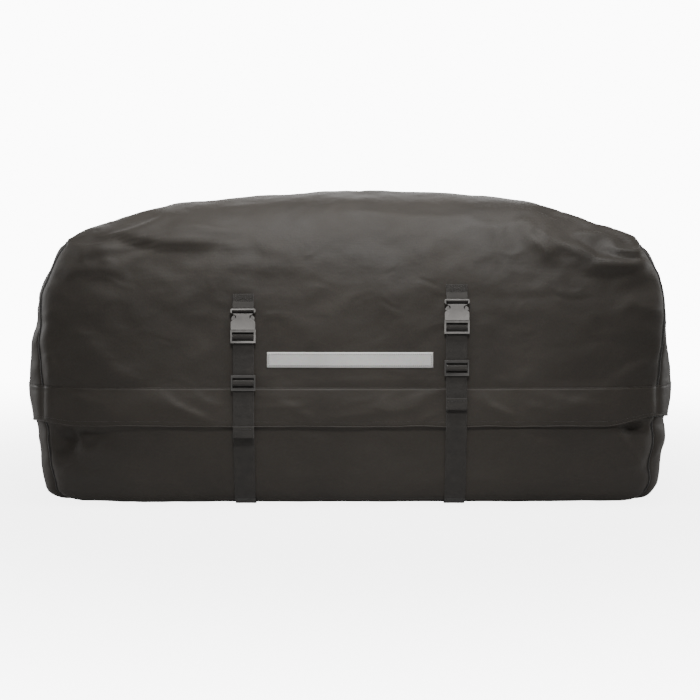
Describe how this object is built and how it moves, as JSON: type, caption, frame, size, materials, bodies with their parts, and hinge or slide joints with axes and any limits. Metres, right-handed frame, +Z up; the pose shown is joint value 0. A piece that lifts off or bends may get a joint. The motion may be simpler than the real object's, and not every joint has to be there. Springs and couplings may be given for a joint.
{
  "type": "soft cargo bag for a hitch carrier",
  "caption": "Soft weatherproof cargo bag for a hitch-mounted carrier: zipped hinged lid, storm flap, webbing straps with side-release buckles and adjusters.",
  "frame": {"origin": "on the ground under the middle of the part's overall box", "axes": "+Z up, +X to the bag's long side's right seen from the front, the buckled front faces -Y"},
  "size_m": [1.1932, 0.508, 0.57],
  "materials": {
    "shell": "coated weave",
    "ends": "coated weave",
    "base": "stiffened",
    "webbing": "ribbed weave",
    "trim": "woven tape",
    "coil": "moulded",
    "buckle": "satin",
    "slider": "satin"
  },
  "bodies": {
    "tub": {"base_panel": "base", "tub_front": "shell", "tub_back": "shell", "tub_left": "ends", "tub_right": "ends", "tub_piping_front": "trim", "tub_piping_back": "trim", "zip_tape_lower": "trim", "zip_coil_lower": "coil", "zip_ends_lower": "ends", "hinge_tape_lower": "webbing", "strap_under_left": "webbing", "strap_toe_left": "webbing", "strap_back_left": "webbing", "strap_anchor_left": "webbing", "strap_front_left": "webbing", "strap_under_right": "webbing", "strap_toe_right": "webbing", "strap_back_right": "webbing", "strap_anchor_right": "webbing", "strap_front_right": "webbing"},
    "lid": {"lid_wrap": "shell", "lid_end_left": "ends", "lid_end_right": "ends", "lid_piping_left": "trim", "lid_piping_right": "trim", "zip_tape_upper": "trim", "zip_coil_upper": "coil", "zip_ends_upper": "ends", "hinge_tape_upper": "webbing", "storm_flap": "shell", "stub_left": "webbing", "socket_left": "buckle", "stub_right": "webbing", "socket_right": "buckle"},
    "buckle_left": {"plug_left": "buckle", "prongs_left": "buckle", "strap_loop_left": "webbing", "strap_hem_left": "webbing"},
    "adjuster_left": {"adjuster_left": "buckle", "adjuster_web_left": "webbing"},
    "buckle_right": {"plug_right": "buckle", "prongs_right": "buckle", "strap_loop_right": "webbing", "strap_hem_right": "webbing"},
    "adjuster_right": {"adjuster_right": "buckle", "adjuster_web_right": "webbing"},
    "zip_slider": {"zip_slider": "slider"},
    "zip_pull": {"zip_pull": "slider"}
  },
  "joints": [
    {"name": "lid_hinge", "type": "hinge", "parent": "tub", "child": "lid", "pos_m": [0, 0.2536, 0.18], "axis": [-1, 0, 0], "range_deg": [0, 100]},
    {"name": "buckle_left_release", "type": "slide", "parent": "tub", "child": "buckle_left", "axis": [0, -0.0436, -0.999], "range_m": [0, 0.03], "deforming": ["prongs_left", "strap_front_left"]},
    {"name": "adjuster_left_slide", "type": "slide", "parent": "buckle_left", "child": "adjuster_left", "axis": [0, 0.0436, 0.999], "range_m": [-0.05, 0.01]},
    {"name": "buckle_right_release", "type": "slide", "parent": "tub", "child": "buckle_right", "axis": [0, -0.0436, -0.999], "range_m": [0, 0.03], "deforming": ["prongs_right", "strap_front_right"]},
    {"name": "adjuster_right_slide", "type": "slide", "parent": "buckle_right", "child": "adjuster_right", "axis": [0, 0.0436, 0.999], "range_m": [-0.035, 0.01]},
    {"name": "zip_slide", "type": "slide", "parent": "tub", "child": "zip_slider", "axis": [-0.1478, -0.989, 0], "range_m": [0, 0.04]},
    {"name": "zip_pull_swing", "type": "hinge", "parent": "zip_slider", "child": "zip_pull", "pos_m": [-0.59106, 0.17777, 0.18], "axis": [0, 0, 1], "range_deg": [0, 150]}
  ]
}
